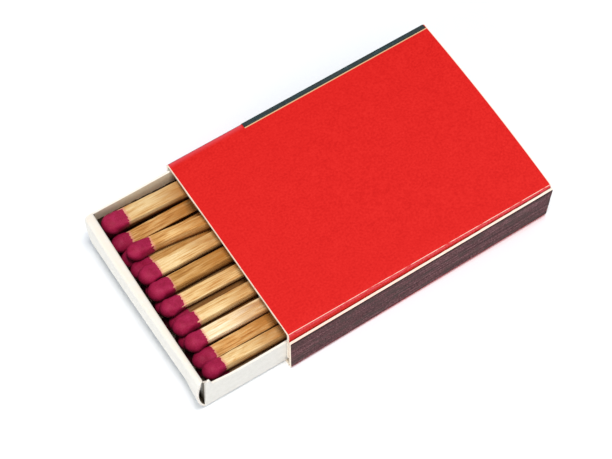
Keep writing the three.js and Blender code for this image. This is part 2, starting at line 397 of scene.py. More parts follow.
@dataclass(frozen=True)
class PrintedBoard:
    """Red printed board, pale where its folds and edges are worn, with a painted highlight and a painted
    shade along the far fold. Places are in millimetres.
    """

    mouth: float
    rear: float
    near_fold: float
    far_fold: float
    top: float
    strip_start: float
    strip_edge: float
    mouth_skew: float
    ink_deep: Colour = screen(205, 17, 13)
    ink: Colour = screen(215, 25, 20)
    ink_light: Colour = screen(222, 34, 28)
    bare: Colour = screen(250, 228, 206)
    # worn pink on the near fold, and also the colour of the painted highlight along the far fold
    rub_and_highlight: Colour = screen(222, 88, 98)
    tan: Colour = screen(228, 188, 142)
    maroon: Colour = screen(112, 38, 46)
    plum: Colour = screen(112, 42, 66)
    cloud: Grain = Grain(0.35, 0.35, detail=5.0)
    fibre: Grain = Grain(2.6, 2.6, detail=4.0)
    patch: Grain = Grain(0.5, 3.0, detail=4.0)
    cloud_share: float = 0.2
    ink_places: tuple[float, float, float] = (0.34, 0.5, 0.68)
    patchy: Step = Step(0.3, 0.5)
    before_strip: Step = Step(0.0, -0.3)
    beside_strip: Step = Step(0.0, 0.2)
    on_top: Step = Step(-1.2, -0.6)
    mouth_edge: Band = Band(0.0, 0.05, 0.1)
    rear_edge: Band = Band(0.0, 0.06, 0.1)
    edge_break: Step = Step(0.16, 0.4)
    near_stripe: Band = Band(-0.3, 0.12, 0.4)
    stripe_break: Step = Step(0.2, 0.7, top=0.8)
    near_crack: Band = Band(0.12, 0.01, 0.1)
    low_down: Step = Step(1.2, 0.9, top=0.65)
    on_lap: Step = Step(-0.2, -0.4)
    far_blush: Band = Band(-0.3, 0.0, 1.7)
    far_shade: Step = Step(0.22, 0.0, top=0.8)
    strip_line: Band = Band(-0.1, 0.06, 0.08)

    def make(self) -> Material:
        """Builds the finish.

        Returns:
            The material.
        """
        graph = Graph("printed_board", roughness=0.62, specular=0.16)
        fibre = graph.grain(self.fibre)
        mottle = graph.blend(graph.grain(self.cloud), fibre, self.cloud_share)
        inks = graph.ramp(mottle, self.ink_places, (self.ink_deep, self.ink, self.ink_light))
        colour = graph.paint(inks, self.wear_and_painted_light(graph, fibre))
        return graph.finish(colour, fibre, depth=0.012)

    def wear_and_painted_light(self, graph: Graph, fibre: NodeSocket) -> Paints:
        """Masks of the rubbed folds and edges, and of the painted highlight and painted shade along the
        far fold.

        Args:
            graph: The material's nodes.
            fibre: Fine noise that breaks the masks up.

        Returns:
            Masks with their colours.
        """
        drop = graph.math("SUBTRACT", graph.z, self.top)
        near = graph.math("ADD", graph.math("SUBTRACT", graph.y, self.near_fold), drop)
        far = graph.math("ADD", graph.math("SUBTRACT", self.far_fold, graph.y), drop)
        patches = graph.rise(graph.grain(self.patch), self.patchy)
        before_strip = graph.rise(graph.x, self.before_strip.at(self.strip_start))
        beside_strip = graph.rise(graph.x, self.beside_strip.at(self.strip_start))
        strip_line = graph.band(graph.y, self.strip_line.at(self.strip_edge))
        on_top = graph.rise(graph.z, self.on_top.at(self.top))
        low_down = graph.rise(graph.z, self.low_down)
        on_lap = graph.rise(graph.y, self.on_lap.at(self.near_fold))
        stripe = graph.both(graph.band(near, self.near_stripe), graph.rise(fibre, self.stripe_break))
        ends = graph.math(
            "MAXIMUM",
            graph.band(self.from_skew(graph), self.mouth_edge.at(self.mouth)),
            graph.band(graph.x, self.rear_edge.at(self.rear)),
        )
        return [
            (graph.both(low_down, on_lap), self.maroon),
            (graph.both(stripe, on_top), self.rub_and_highlight),
            (graph.both(graph.band(near, self.near_crack), patches, on_top), self.bare),
            # painted highlight: a pinkish glow along the rounded far fold
            (graph.both(graph.band(far, self.far_blush), before_strip, on_top), self.rub_and_highlight),
            # painted shade: a dark plum edge where the far fold turns away
            (graph.both(graph.rise(far, self.far_shade), before_strip, on_top), self.plum),
            (graph.both(strip_line, beside_strip, on_top), self.tan),
            (graph.both(ends, graph.rise(fibre, self.edge_break)), self.bare),
        ]

    def from_skew(self, graph: Graph) -> NodeSocket:
        """Takes the mouth's skew out of the place along X.

        Args:
            graph: The material's nodes.

        Returns:
            The place along a square box.
        """
        across = graph.rise(graph.y, Step(self.near_fold, self.far_fold))
        skew = graph.math("MULTIPLY", graph.math("SUBTRACT", across, 0.5), 2 * self.mouth_skew)
        return graph.math("SUBTRACT", graph.x, skew)


@dataclass(frozen=True)
class RawBoard:
    """Unprinted pulp board, on cut edges and on the inside."""

    name: str
    dark: Colour
    light: Colour
    pulp: Grain = Grain(0.9, 0.9, detail=5.0)
    fibre: Grain = Grain(3.5, 5.0, detail=4.0)
    pulp_share: float = 0.5
    tone_places: tuple[float, float] = (0.3, 0.7)

    def make(self) -> Material:
        """Builds the finish.

        Returns:
            The material.
        """
        graph = Graph(self.name, roughness=0.9, specular=0.1)
        pulp = graph.grain(self.pulp)
        fibre = graph.grain(self.fibre)
        shade = graph.blend(pulp, fibre, self.pulp_share)
        board = graph.ramp(shade, self.tone_places, (self.dark, self.light))
        return graph.finish(graph.paint(board, self.marks(graph, pulp)), fibre, depth=0.012)

    def marks(self, graph: Graph, pulp: NodeSocket) -> Paints:
        """Masks of marks on the board, with their colours: plain board has none."""
        return []


@dataclass(frozen=True, kw_only=True)
class LappedBoard(RawBoard):
    """Board of the sleeve, dark along the glue seam between its two near layers. In millimetres."""

    seam: float
    glue: Colour = screen(112, 66, 48)
    seam_line: Band = Band(0.0, 0.05, 0.09)
    seam_break: Step = Step(0.2, 0.6)

    def marks(self, graph: Graph, pulp: NodeSocket) -> Paints:
        """The mask of the seam, fainter here and there."""
        seam = graph.band(graph.y, self.seam_line.at(self.seam))
        return [(graph.both(seam, graph.rise(pulp, self.seam_break)), self.glue)]


@dataclass(frozen=True, kw_only=True)
class TrayFace(RawBoard):
    """Board of the tray, warm on its handled rims, with painted shade between its front end's layers.

    Places are in millimetres.
    """

    low: Vector
    high: Vector
    front: float
    warm: Colour = screen(240, 227, 210)
    gap_shade: Colour = screen(92, 82, 60)
    rim: Step = Step(-0.5, 0.0, top=0.75)
    rim_break: Step = Step(0.25, 0.6)
    layers_front: Step = Step(0.25, 0.5, top=0.85)
    layers_back: Step = Step(1.6, 1.5)
    layers_near: Step = Step(0.35, 0.55)
    layers_far: Step = Step(-0.35, -0.55)
    layers_foot: Step = Step(1.0, 1.8)
    layers_top: Step = Step(-0.6, -0.9)

    def marks(self, graph: Graph, pulp: NodeSocket) -> Paints:
        """Masks of the rims and of the painted shade in the gap in the front end.

        Args:
            graph: The material's nodes.
            pulp: Noise that breaks the rims' mask up.

        Returns:
            Masks with their colours.
        """
        rim = graph.rise(graph.z, self.rim.at(self.high.z))
        # painted shade in the gap between the front end's outer panel and the tabs behind it
        between_layers = graph.both(
            graph.rise(graph.x, self.layers_front.at(self.front)),
            graph.rise(graph.x, self.layers_back.at(self.front)),
            graph.rise(graph.y, self.layers_near.at(self.low.y)),
            graph.rise(graph.y, self.layers_far.at(self.high.y)),
            graph.rise(graph.z, self.layers_foot.at(self.low.z)),
            graph.rise(graph.z, self.layers_top.at(self.high.z)),
        )
        handled = graph.both(rim, graph.rise(pulp, self.rim_break))
        return [(handled, self.warm), (between_layers, self.gap_shade)]


@dataclass(frozen=True, kw_only=True)
class TrayInside(RawBoard):
    """Inside of the tray, with painted shade in the crevice behind the topmost stick and between the
    front end's layers.

    Places are in millimetres.
    """

    front: float
    wall: float
    crevice: float = 7.55
    fall: float = 0.07
    gap_shade: Colour = screen(64, 32, 8)
    shade: Colour = screen(52, 44, 30)
    at_wall: Step = Step(-0.7, -0.4, top=0.92)
    below: Step = Step(0.65, 0.4)
    before_tail: Step = Step(0.0, -2.0)
    end_layers: Step = Step(1.7, 1.4, top=0.85)

    def marks(self, graph: Graph, pulp: NodeSocket) -> Paints:
        """Masks of the painted shade in the crevice at the far wall and in the gap in the front end.

        Args:
            graph: The material's nodes.
            pulp: Noise that makes the crevice's edge uneven.

        Returns:
            Masks with their colours.
        """
        sinking = graph.math("MULTIPLY", graph.math("SUBTRACT", graph.x, self.front), self.fall)
        height = graph.math("ADD", graph.math("ADD", graph.z, pulp), sinking)
        # painted shadow in the crevice where the topmost stick lies against the far wall
        crevice_shade_mask = graph.both(
            graph.rise(graph.y, self.at_wall.at(self.wall)),
            graph.rise(height, self.below.at(self.crevice)),
            graph.rise(graph.x, self.before_tail),
        )
        # painted shade on the inside of the front end, between its layers
        hidden = graph.rise(graph.x, self.end_layers.at(self.front))
        return [(crevice_shade_mask, self.gap_shade), (hidden, self.shade)]


@dataclass(frozen=True)
class StrikingCoat:
    """Matt grit rubbed into streaks along the box. Places are in millimetres."""

    name: str
    dark: Colour
    middle: Colour
    light: Colour
    bald: Colour
    scuff: Colour
    scuffed: Step
    crease: float = 0.0
    crease_slope: float = 0.0
    creased: Step = Step(-0.7, -0.2, top=0.0)
    streak: Grain = Grain(0.06, 2.2, detail=5.0, bend=0.4)
    patch: Grain = Grain(0.3, 0.55, detail=4.0, bend=0.6)
    grit: Grain = Grain(3.2, 3.2, detail=4.0)
    rub: Grain = Grain(0.09, 3.4, detail=3.0)
    streak_share: float = 0.45
    tone_places: tuple[float, float, float] = (0.36, 0.5, 0.64)
    patchy: Step = Step(0.44, 0.62, top=0.65)

    def make(self) -> Material:
        """Builds the finish.

        Returns:
            The material.
        """
        graph = Graph(self.name, roughness=0.88, specular=0.22)
        grit = graph.grain(self.grit)
        shade = graph.blend(graph.grain(self.streak), grit, self.streak_share)
        coat = graph.ramp(shade, self.tone_places, (self.dark, self.middle, self.light))
        height = graph.math("SUBTRACT", graph.z, graph.math("MULTIPLY", graph.x, self.crease_slope))
        paints = [
            (graph.rise(graph.grain(self.patch), self.patchy), self.bald),
            (graph.rise(graph.grain(self.rub), self.scuffed), self.scuff),
            (graph.rise(height, self.creased.at(self.crease)), self.dark),
        ]
        return graph.finish(graph.paint(coat, paints), grit, depth=0.03)


@dataclass(frozen=True)
class HeadDip:
    """The matt burgundy composition of a match head, with painted shade on its lower side and on the
    heads that lie low in the tray. In millimetres.
    """

    dark: Colour = screen(130, 12, 46)
    middle: Colour = screen(157, 20, 63)
    light: Colour = screen(176, 38, 84)
    painted_shade: Colour = screen(46, 5, 14)
    cloud: Grain = Grain(0.8, 0.8, detail=4.0)
    grit: Grain = Grain(6.5, 6.5, detail=4.0)
    cloud_share: float = 0.45
    tone_places: tuple[float, float, float] = (0.3, 0.48, 0.68)
    sunk: Step = Step(0.2, 1.1, top=0.9)
    buried: Step = Step(6.3, 4.4, top=0.8)

    def make(self) -> Material:
        """Builds the finish.

        Returns:
            The material.
        """
        graph = Graph("match_head_dip", roughness=0.6, specular=0.2)
        grit = graph.grain(self.grit)
        shade = graph.blend(graph.grain(self.cloud), grit, self.cloud_share)
        dip = graph.ramp(shade, self.tone_places, (self.dark, self.middle, self.light))
        paints = [
            # painted shade on the lower side of each head
            (graph.rise(graph.attribute(Layer.SUNK), self.sunk), self.painted_shade),
            # painted shade on the heads that lie low in the tray
            (graph.rise(graph.z, self.buried), self.painted_shade),
        ]
        return graph.finish(graph.paint(dip, paints), grit, depth=0.03)


@dataclass(frozen=True)
class SplitWood:
    """Raw split wood, streaked along the stick and stained where the dip ends, amber further behind it
    partly as painted shade of the sleeve's mouth, with painted shade on its lower sides and on the deep
    sticks. In millimetres.
    """

    tone: Wood
    dark: Colour
    middle: Colour
    light: Colour
    stain: Colour = screen(226, 150, 130)
    amber: Colour = screen(176, 110, 42)
    painted_shade: Colour = screen(84, 40, 10)
    broad: Grain = Grain(0.12, 0.55, detail=2.0, bend=1.2)
    streak: Grain = Grain(0.16, 4.2, detail=5.0, bend=0.5)
    pore: Grain = Grain(0.7, 13.0, detail=3.0)
    broad_share: float = 0.4
    tone_places: tuple[float, float, float] = (0.34, 0.48, 0.62)
    pored: Step = Step(0.54, 0.68, top=0.4)
    aged_and_shaded: Step = Step(3.5, 11.5, top=0.85)
    amber_break: Step = Step(0.28, 0.6)
    stained: Step = Step(0.42, 0.05, top=0.65)
    sunk: Step = Step(0.5, 0.85, top=0.95)

    def make(self) -> Material:
        """Builds the finish.

        Returns:
            The material.
        """
        graph = Graph(self.tone.value, roughness=0.75, specular=0.06)
        broad, streak = graph.grain(self.broad), graph.grain(self.streak)
        pore = graph.grain(self.pore)
        behind = graph.attribute(Layer.BEHIND_DIP)
        shade = graph.blend(broad, streak, self.broad_share)
        wood = graph.ramp(shade, self.tone_places, (self.dark, self.middle, self.light))
        paints = [
            (graph.rise(pore, self.pored), self.dark),
            # amber behind the dip: partly the wood's tone, partly painted shade where the sleeve's mouth
            # shades the sticks
            (graph.both(graph.rise(behind, self.aged_and_shaded), graph.rise(broad, self.amber_break)), self.amber),
            (graph.rise(behind, self.stained), self.stain),
            # painted shade on the lower part of each stick's sides and on its underside
            (graph.rise(graph.attribute(Layer.SUNK), self.sunk), self.painted_shade),
            # painted shade on the sticks that lie deep in the tray, and a small darkening on some shown
            # ones
            (graph.attribute(Layer.DIM), self.painted_shade),
        ]
        return graph.finish(graph.paint(wood, paints), graph.math("ADD", streak, pore), depth=0.035)


@dataclass(frozen=True)
class StudioPaper:
    """Matt white paper of the floor."""

    colour: Colour = (0.955, 0.975, 1.0)

    def make(self) -> Material:
        """Builds the finish.

        Returns:
            The material.
        """
        graph = Graph("studio_paper", roughness=0.95, specular=0.0)
        graph.feed(graph.shader.inputs["Base Color"], self.colour)
        return graph.material


def add_object(name: str, data: ID) -> Object:
    """Puts a new object into the scene.

    Args:
        name: The object's name.
        data: Its mesh, camera or light.

    Returns:
        The object.
    """
    made = bpy.data.objects.new(name, data)
    bpy.context.scene.collection.objects.link(made)
    return made


def to_data(mesh: BMesh, name: str) -> Mesh:
    """Turns a bmesh into mesh data.

    Args:
        mesh: The finished shape, which is freed.
        name: The name of the data.

    Returns:
        The data.
    """
    data = bpy.data.meshes.new(name)
    mesh.to_mesh(data)
    mesh.free()
    return data


def make_piece(
    mesh: BMesh, name: str, body: Body, node: str, materials: Sequence[Material]
) -> Object:
    """Turns a bmesh into a piece that stands for a node of the frame.

    Args:
        mesh: The finished shape, which is freed.
        name: The piece's name.
        body: The body that carries it.
        node: The node that it stands for.
        materials: Its materials, in the order of its faces' slots.

    Returns:
        The piece.
    """
    for face in mesh.faces:
        face.smooth = True
    data = to_data(mesh, name)
    data.set_sharp_from_angle(angle=SHARP_ANGLE)
    for material in materials:
        data.materials.append(material)
    piece = add_object(name, data)
    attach(piece, body.value)
    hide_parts(node)
    return piece


def slice_mesh(mesh: BMesh, axis: Axis, places: Iterable[float]) -> None:
    """Cuts a mesh by planes square to an axis.

    Args:
        mesh: The mesh.
        axis: The axis.
        places: Where the planes cross the axis.
    """
    for place in places:
        whole = [*mesh.verts, *mesh.edges, *mesh.faces]
        bmesh.ops.bisect_plane(
            mesh, geom=whole, dist=TOUCH, plane_co=axis.at(place), plane_no=axis.at(1)
        )


def round_edges(mesh: BMesh, edges: list[BMEdge], radius: float, segments: int) -> None:
    """Rounds edges to an outside radius."""
    bmesh.ops.bevel(
        mesh, geom=edges, offset=radius, offset_type="OFFSET", affect="EDGES",
        segments=segments, profile=0.5, material=-1, clamp_overlap=True,
    )


class Sheet:
    """Board that grows from a line in one bmesh, and is then scored, bent, rounded and thickened."""

    def __init__(self, corners: Sequence[Vector]) -> None:
        """Starts from a line.

        Args:
            corners: The corners that the line goes through.
        """
        self.mesh: BMesh = bmesh.new()
        verts = [self.mesh.verts.new(corner) for corner in corners]
        self.line = [self.mesh.edges.new(pair) for pair in zip(verts, verts[1:])]

    def grow(self, edges: Iterable[BMEdge], step: Vector) -> list[BMEdge]:
        """Extends the sheet.

        Args:
            edges: The edges that it grows from.
            step: How far it grows.

        Returns:
            The edges that it has grown to.
        """
        grown = bmesh.ops.extrude_edge_only(self.mesh, edges=list(edges))["geom"]
        verts = {item for item in grown if isinstance(item, BMVert)}
        bmesh.ops.translate(self.mesh, vec=step, verts=list(verts))
        return [item for item in grown if isinstance(item, BMEdge) and verts.issuperset(item.verts)]

    def score(self, axis: Axis, places: Iterable[float]) -> None:
        """Cuts the sheet into strips by planes square to an axis."""
        slice_mesh(self.mesh, axis, places)

    def edges(self, test: Callable[[Vector], bool]) -> list[BMEdge]:
        """The edges whose two ends pass a test."""
        return [edge for edge in self.mesh.edges if all(test(vert.co) for vert in edge.verts)]

    def edges_on(self, line: Vector) -> list[BMEdge]:
        """The edges on the line along X through a point."""
        return self.edges(lambda point: (point - line).yz.length < TOUCH)

    def bend(self, settle: Callable[[Vector], Vector]) -> None:
        """Moves every point to where it has settled."""
        for vert in self.mesh.verts:
            vert.co = settle(vert.co)

    def round(self, folds: list[BMEdge], radius: float, segments: int) -> None:
        """Rounds the fold lines that are left to an outside radius."""
        round_edges(self.mesh, [edge for edge in folds if edge.is_valid], radius, segments)

    def face_outwards(self) -> None:
        """Turns every face away from the middle of the sheet."""
        faces = self.mesh.faces
        bmesh.ops.recalc_face_normals(self.mesh, faces=faces)
        centre = sum((vert.co for vert in self.mesh.verts), Vector()) / len(self.mesh.verts)
        outward = sum(
            face.calc_area() * face.normal.dot(face.calc_center_median() - centre) for face in faces
        )
        if outward < 0:
            bmesh.ops.reverse_faces(self.mesh, faces=faces)

    def thicken(self, board: float) -> None:
        """Gives the sheet its thickness inwards, with slots for face, inside and cut edge.

        Args:
            board: The thickness.
        """
        self.face_outwards()
        outside = set(self.mesh.faces)
        bmesh.ops.solidify(self.mesh, geom=self.mesh.faces[:], thickness=board)
        for face in self.mesh.faces:
            cut = any(beside in outside for edge in face.edges for beside in edge.link_faces)
            side = Side.FACE if face in outside else Side.CUT if cut else Side.INSIDE
            face.material_index = side.value


@dataclass
class Sleeve:
    """The sleeve: one strip of board folded round the tray and lapped on the near side."""

    low: Vector
    high: Vector
    near_strip: tuple[Vector, Vector]
    far_strip: tuple[Vector, Vector]
    board: float = 0.45 * MM
    fold: float = 0.58 * MM
    lap_step: float = 0.6 * MM
    lap_drop_mouth: float = 2.2 * MM
    lap_drop_rear: float = 0.7 * MM
    flap_foot: float = 2.6 * MM
    coat: float = 0.08 * MM
    coat_margin: float = 0.05 * MM
    far_lip: float = 0.08 * MM
    dome: float = 0.9 * MM
    dome_at_mouth: float = 0.12
    mouth_skew: float = 0.08 * MM
    foot_out: float = 0.1 * MM
    foot_in: float = 0.9 * MM
    waver: float = 0.09 * MM
    waver_length: float = 2.2 * MM
    waver_reach: float = 0.03
    slices: int = 60
    strips: int = 16
    rows: int = 3
    coat_rows: int = 6
    fold_segments: int = 6

    @property
    def flap_face(self) -> float:
        """The outer face of the flap under the lap."""
        return self.low.y + self.lap_step

    @property
    def far_edge(self) -> float:
        """Where the far strip stops on the top, a little past the frame's strip."""
        return self.far_strip[0].y - self.far_lip

    def along(self, x: float) -> float:
        """How far back a place lies: 0 at the mouth, 1 at the rear."""
        return (x - self.low.x) / (self.high.x - self.low.x)

    def lap_edge(self, x: float) -> float:
        """Height of the outer panel's skew cut edge."""
        share = self.along(x)
        return self.high.z - self.lap_drop_mouth * (1 - share) - self.lap_drop_rear * share

    def settle(self, point: Vector) -> Vector:
        """Where a point of the square-folded sleeve has settled.

        Args:
            point: A point on a flat panel.

        Returns:
            The point on the worn, slightly domed and skew sleeve.
        """
        back = self.along(point.x)
        across = (point.y - self.flap_face) / (self.high.y - self.flap_face)
        across = min(1.0, max(0.0, across))
        rise = (point.z - self.low.z) / (self.high.z - self.low.z)
        moved = point.copy()
        fullness = self.dome_at_mouth + (1 - self.dome_at_mouth) * back * back
        moved.z += self.dome * arch(across) * fullness * rise
        moved.x += self.mouth_skew * (2 * across - 1) * (1 - back)
        at_end = max(ease(back, self.waver_reach, 0.0), ease(back, 1 - self.waver_reach, 1.0))
        moved.x += at_end * self.waver * noise.noise(point / self.waver_length)
        if point.y < self.flap_face - self.lap_step / 2:
            flat_edge = self.lap_edge(self.high.x) - self.low.z
            skew_edge = self.lap_edge(point.x) - self.low.z
            moved.z = self.low.z + (point.z - self.low.z) * skew_edge / flat_edge
            moved.y += (1 - rise) * (self.foot_in * back - self.foot_out * (1 - back))
        return moved

    def print_finish(self) -> Material:
        """The finish of the printed face."""
        return PrintedBoard(
            mouth=self.low.x / MM,
            rear=self.high.x / MM,
            near_fold=self.flap_face / MM,
            far_fold=self.high.y / MM,
            top=self.high.z / MM,
            strip_start=self.far_strip[0].x / MM,
            strip_edge=self.far_edge / MM,
            mouth_skew=self.mouth_skew / MM,
        ).make()

    def raw_finish(self) -> Material:
        """The finish of cut edges and of the inside."""
        return LappedBoard(
            name="sleeve_pulp",
            dark=screen(248, 229, 206),
            light=screen(255, 249, 236),
            seam=(self.low.y + self.board + self.flap_face) / 2 / MM,
        ).make()

    def brown_grit(self) -> Material:
        """The finish of the near striking strip."""
        slope = (self.lap_edge(self.high.x) - self.lap_edge(self.low.x)) / (self.high.x - self.low.x)
        return StrikingCoat(
            "striking_coat",
            dark=screen(50, 30, 33),
            middle=screen(96, 59, 62),
            light=screen(142, 99, 103),
            bald=screen(74, 60, 57),
            scuff=screen(140, 88, 92),
            scuffed=Step(0.6, 0.72, top=0.5),
            crease=(self.lap_edge(0.0) - self.coat_margin) / MM,
            crease_slope=slope,
            creased=Step(-0.7, -0.2, top=0.9),
        ).make()

    def slate_grit(self) -> Material:
        """The finish of the far striking strip."""
        return StrikingCoat(
            "striking_coat_slate",
            dark=screen(30, 44, 46),
            middle=screen(44, 60, 62),
            light=screen(62, 80, 82),
            bald=screen(50, 54, 52),
            scuff=screen(70, 88, 92),
            scuffed=Step(0.6, 0.72, top=0.3),
        ).make()

    def build_board(self) -> Object:
        """Models and dresses the folded board.

        Returns:
            The piece.
        """
        low, high, flap = self.low, self.high, self.flap_face
        corners = [
            (flap, low.z + self.flap_foot),
            (flap, high.z),
            (high.y, high.z),
            (high.y, low.z),
            (low.y, low.z),
            (low.y, self.lap_edge(high.x)),
        ]
        sheet = Sheet([Vector((low.x, y, z)) for y, z in corners])
        sheet.grow(sheet.line, Vector((high.x - low.x, 0, 0)))
        sheet.score(Axis.X, between(low.x, high.x, self.slices))
        sheet.score(Axis.Y, between(flap, high.y, self.strips))
        sheet.score(Axis.Z, between(low.z, high.z, self.rows))
        folds = [edge for y, z in corners[1:-1] for edge in sheet.edges_on(Vector((0, y, z)))]
        sheet.bend(self.settle)
        sheet.round(folds, self.fold, self.fold_segments)
        sheet.thicken(self.board)
        raw = self.raw_finish()
        return make_piece(
            sheet.mesh, "sleeve_board", Body.SLEEVE, "sleeve",
            [self.print_finish(), raw, raw],
        )

    def build_near_strip(self) -> Object:
        """Models and dresses the striking strip on the lapped side.

        Returns:
            The piece.
        """
        foot = self.near_strip[0].z
        start, stop = self.low.x + self.coat_margin, self.high.x - self.coat_margin
        top = self.lap_edge(self.high.x) - self.coat_margin
        outside = self.low.y - self.coat
        sheet = Sheet([Vector((start, outside, foot)), Vector((start, outside, top))])
        sheet.grow(sheet.line, Vector((stop - start, 0, 0)))
        sheet.score(Axis.X, between(start, stop, self.slices))
        sheet.score(Axis.Z, between(foot, top, self.coat_rows))
        sheet.bend(self.settle)
        mesh = sheet.mesh
        bmesh.ops.recalc_face_normals(mesh, faces=mesh.faces)
        if sum(face.normal.y for face in mesh.faces) > 0:
            bmesh.ops.reverse_faces(mesh, faces=mesh.faces)
        bmesh.ops.solidify(mesh, geom=mesh.faces[:], thickness=self.coat)
        return make_piece(mesh, "strip_near", Body.SLEEVE, "striker_near", [self.brown_grit()])

    def build_far_strip(self) -> Object:
        """Models and dresses the striking strip that turns over the far fold.

        Returns:
            The piece.
        """
        low, high = self.far_strip
        corners = [(self.far_edge, high.z), (high.y, high.z), (high.y, low.z)]
        sheet = Sheet([Vector((low.x, y, z)) for y, z in corners])
        sheet.grow(sheet.line, Vector((high.x - low.x, 0, 0)))
        sheet.score(Axis.X, between(low.x, high.x, self.slices))
        sheet.score(Axis.Z, between(low.z, high.z, self.rows))
        folds = sheet.edges_on(Vector((0, high.y, high.z)))
        sheet.bend(self.settle)
        sheet.round(folds, self.fold + self.coat, self.fold_segments)
        sheet.thicken(self.coat)
        coat = self.slate_grit()
        return make_piece(
            sheet.mesh, "strip_far", Body.SLEEVE, "striker_far", [coat, coat, coat]
        )


@dataclass(frozen=True)
class Spot:
    """A point of the square-folded tray, with the panels that it lies on.

    Rise and across are shares of the tray's height and width, and inside is how far the point lies
    inwards from the base fold of the nearer end.
    """

    point: Vector
    rise: float
    across: float
    inside: float
    at_front: bool
    on_outer: bool
    on_tab: bool
    on_inner: bool
    on_near: bool


@dataclass
class Tray:
    """The tray: one blank whose sides turn into tabs that the doubled, bowed ends fold over."""

    low: Vector
    high: Vector
    board: float = 0.4 * MM
    bow: float = 0.45 * MM
    end_depth: float = 1.3 * MM
    tab_inset: float = 0.45 * MM
    tab_foot: float = 1.4 * MM
    tab_length: float = 8 * MM
    side_drop: float = 0.6 * MM
    end_inset: float = 0.4 * MM
    end_corner: float = 0.35 * MM
    corner_start: float = 0.6
    end_lean: float = 0.42 * MM
    end_belly: float = 0.42 * MM
    end_tuck: float = 0.34 * MM
    bow_loss: float = 0.3 * MM
    bow_loss_reach: float = 9 * MM
    bow_gain: float = 0.65 * MM
    bow_gain_reach: float = 6 * MM
    rim_lean: float = 0.91 * MM
    rim_lean_power: float = 1.6
    rim_share: float = 0.99
    near_lean: float = 0.05 * MM
    corner_foot: float = 0.2 * MM
    corner_back: float = 0.75 * MM
    flare: float = 0.4 * MM
    flare_reach: float = 3 * MM
    flare_share: float = 0.3
    tab_drop: float = 1.8 * MM
    inner_taper: float = 1.6 * MM
    taper_reach: float = 5 * MM
    taper_share: float = 0.8
    corner_reach: float = 6 * MM
    corner_turn: float = 1.2 * MM
    panel_foot: float = 0.5 * MM
    side_fold: float = 0.7 * MM
    base_fold: float = 1.1 * MM
    rim_fold: float = 0.62 * MM
    corner_fold: float = 0.3 * MM
    near_tuck: float = 0.32 * MM
    tuck_height: float = 3 * MM
    bulge: float = 0.12 * MM
    bulge_place: float = 9 * MM
    bulge_reach: float = 8.5 * MM
    tip: float = 0.5 * MM
    tip_cuts: tuple[float, float, float] = (1.0, 1.5, 2.0)
    near_drop: float = 1.5 * MM
    hollow: float = 0.65 * MM
    hollow_reach: float = 7 * MM
    waver: float = 0.07 * MM
    waver_length: float = 4 * MM
    slices: int = 44
    strips: int = 48
    rows: int = 6
    end_rows: int = 12
    side_segments: int = 4
    end_segments: int = 5

    @property
    def front(self) -> float:
        """The fold line under the front end."""
        return self.low.x + self.bow

    @property
    def rear(self) -> float:
        """The fold line under the rear end."""
        return self.high.x - self.bow

    @property
    def side_rim(self) -> float:
        """Height of the sides."""
        return self.high.z - self.side_drop

    def grow_end(self, sheet: Sheet, corner: float, outward: int) -> list[list[BMEdge]]:
        """Grows one end from the floor: bowed outer panel, rim and inner panel.

        Args:
            sheet: The tray's sheet.
            corner: Where the floor stops and the tabs turn in.
            outward: 1 or -1 along X, away from the tray's middle.

        Returns:
            The base fold and the two rim folds.
        """
        near, far = self.low.y + self.end_inset, self.high.y - self.end_inset
        floor_end = sheet.edges(
            lambda p: abs(p.x - corner) < TOUCH
            and abs(p.z - self.low.z) < TOUCH
            and near - TOUCH < p.y < far + TOUCH
        )
        base = sheet.grow(floor_end, Vector((outward * self.tab_inset, 0, 0)))
        height = self.high.z - self.low.z
        edges, last_bow = base, 0.0
        for share in [*shares(self.end_rows), 1.0]:
            bow = self.bow * arch(share)
            step = Vector((outward * (bow - last_bow), 0, height / self.end_rows))
            edges, last_bow = sheet.grow(edges, step), bow
        rim_outer = edges
        rim_inner = sheet.grow(rim_outer, Vector((-outward * self.end_depth, 0, 0)))
        edges = rim_inner
        for _ in range(self.rows):
            edges = sheet.grow(edges, Vector((0, 0, -(height - self.panel_foot) / self.rows)))
        return [base, rim_outer, rim_inner]

    def grow_tab(self, sheet: Sheet, corner: float, side: float, inward: int) -> list[BMEdge]:
        """Grows one tab from the end of a side.

        Args:
            sheet: The tray's sheet.
            corner: Where the side stops.
            side: Where the side stands across the tray.
            inward: 1 or -1 along Y, into the tray.

        Returns:
            The corner's fold.
        """
        foot = self.low.z + self.tab_foot
        fold = sheet.edges(
            lambda p: abs(p.x - corner) < TOUCH and abs(p.y - side) < TOUCH and p.z > foot - TOUCH
        )
        edges = fold
        for _ in range(self.rows):
            edges = sheet.grow(edges, Vector((0, inward * self.tab_length / self.rows, 0)))
        return fold

    def spot(self, point: Vector) -> Spot:
        """Finds the panels that a point lies on.

        Args:
            point: A point of the square-folded tray.

        Returns:
            The point with its panels.
        """
        middle = (self.front + self.rear) / 2
        inside = (self.rear - middle) - abs(point.x - middle)
        return Spot(
            point=point,
            rise=(point.z - self.low.z) / (self.high.z - self.low.z),
            across=(point.y - self.low.y) / (self.high.y - self.low.y),
            inside=inside,
            at_front=point.x < middle,
            on_outer=inside < TOUCH,
            on_tab=abs(inside - self.tab_inset) < TOUCH,
            on_inner=abs(inside - self.end_depth) < TOUCH,
            on_near=abs(point.y - self.low.y) < TOUCH,
        )

